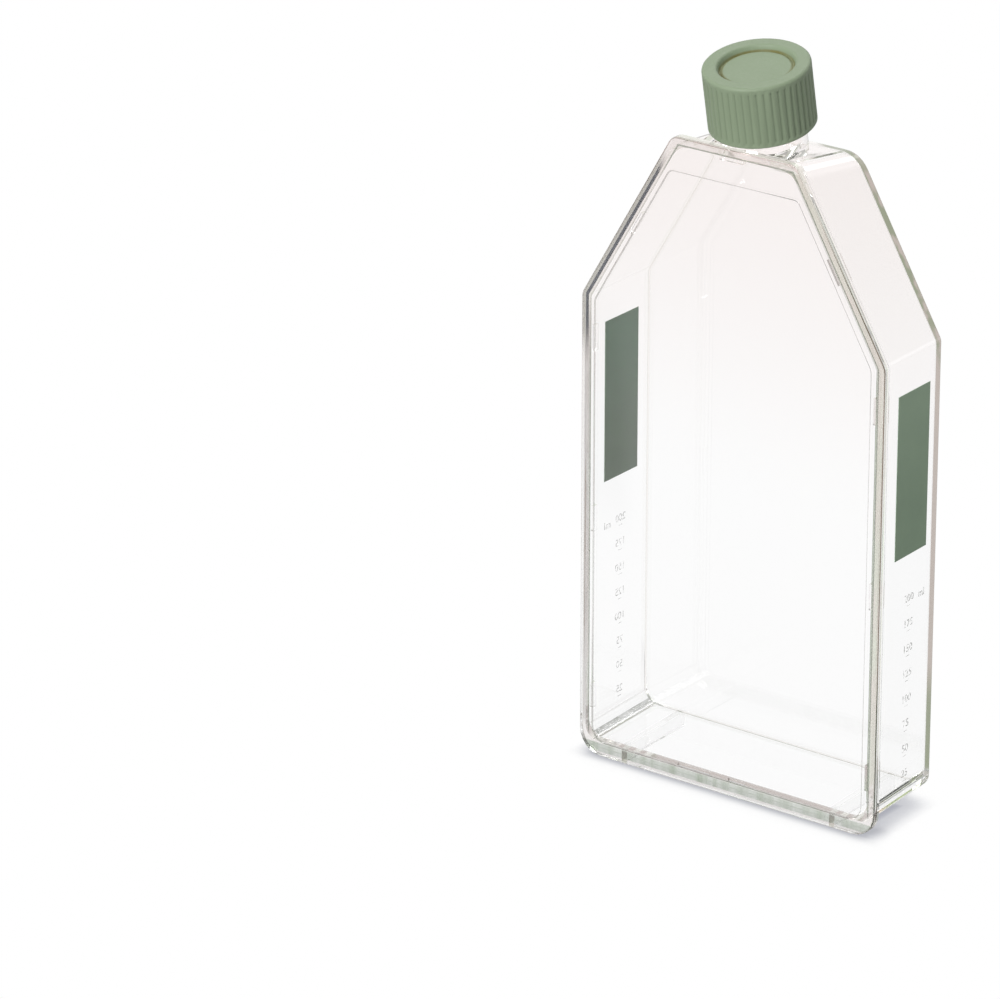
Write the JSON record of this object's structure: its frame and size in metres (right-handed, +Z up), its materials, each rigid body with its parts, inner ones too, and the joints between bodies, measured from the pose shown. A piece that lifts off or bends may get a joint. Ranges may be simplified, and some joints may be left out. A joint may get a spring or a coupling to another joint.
{
  "type": "cell culture flask",
  "caption": "Clear flat-sided culture flask with sloping shoulders, a canted neck, a ribbed screw cap, a welded cover plate and printed writing fields.",
  "frame": {"origin": "under the middle of the bounding box, on the plane that the flask stands on", "axes": "+Z up along the flask from its foot to its cap, +Y from the cover plate to the growth plate, +X to the right seen from the cover plate"},
  "size_m": [0.11, 0.0378, 0.2357],
  "materials": {
    "clear_tray": "clear, glossy moulded polystyrene",
    "clear_cover": "clear, glossy moulded polystyrene",
    "cap_green": "grey-green moulded polyethylene, satin",
    "ink": "flat printed ink"
  },
  "bodies": {
    "flask": {"flask_body": "clear_tray", "cover_plate": "clear_cover", "writing_field_left": "ink", "writing_field_right": "ink"},
    "cap": {"screw_cap": "cap_green"}
  },
  "joints": [
    {"name": "cap_lift", "type": "slide", "parent": "flask", "child": "cap", "axis": [0, -0.1977, 0.9803], "range_m": [0, 0.04]}
  ]
}
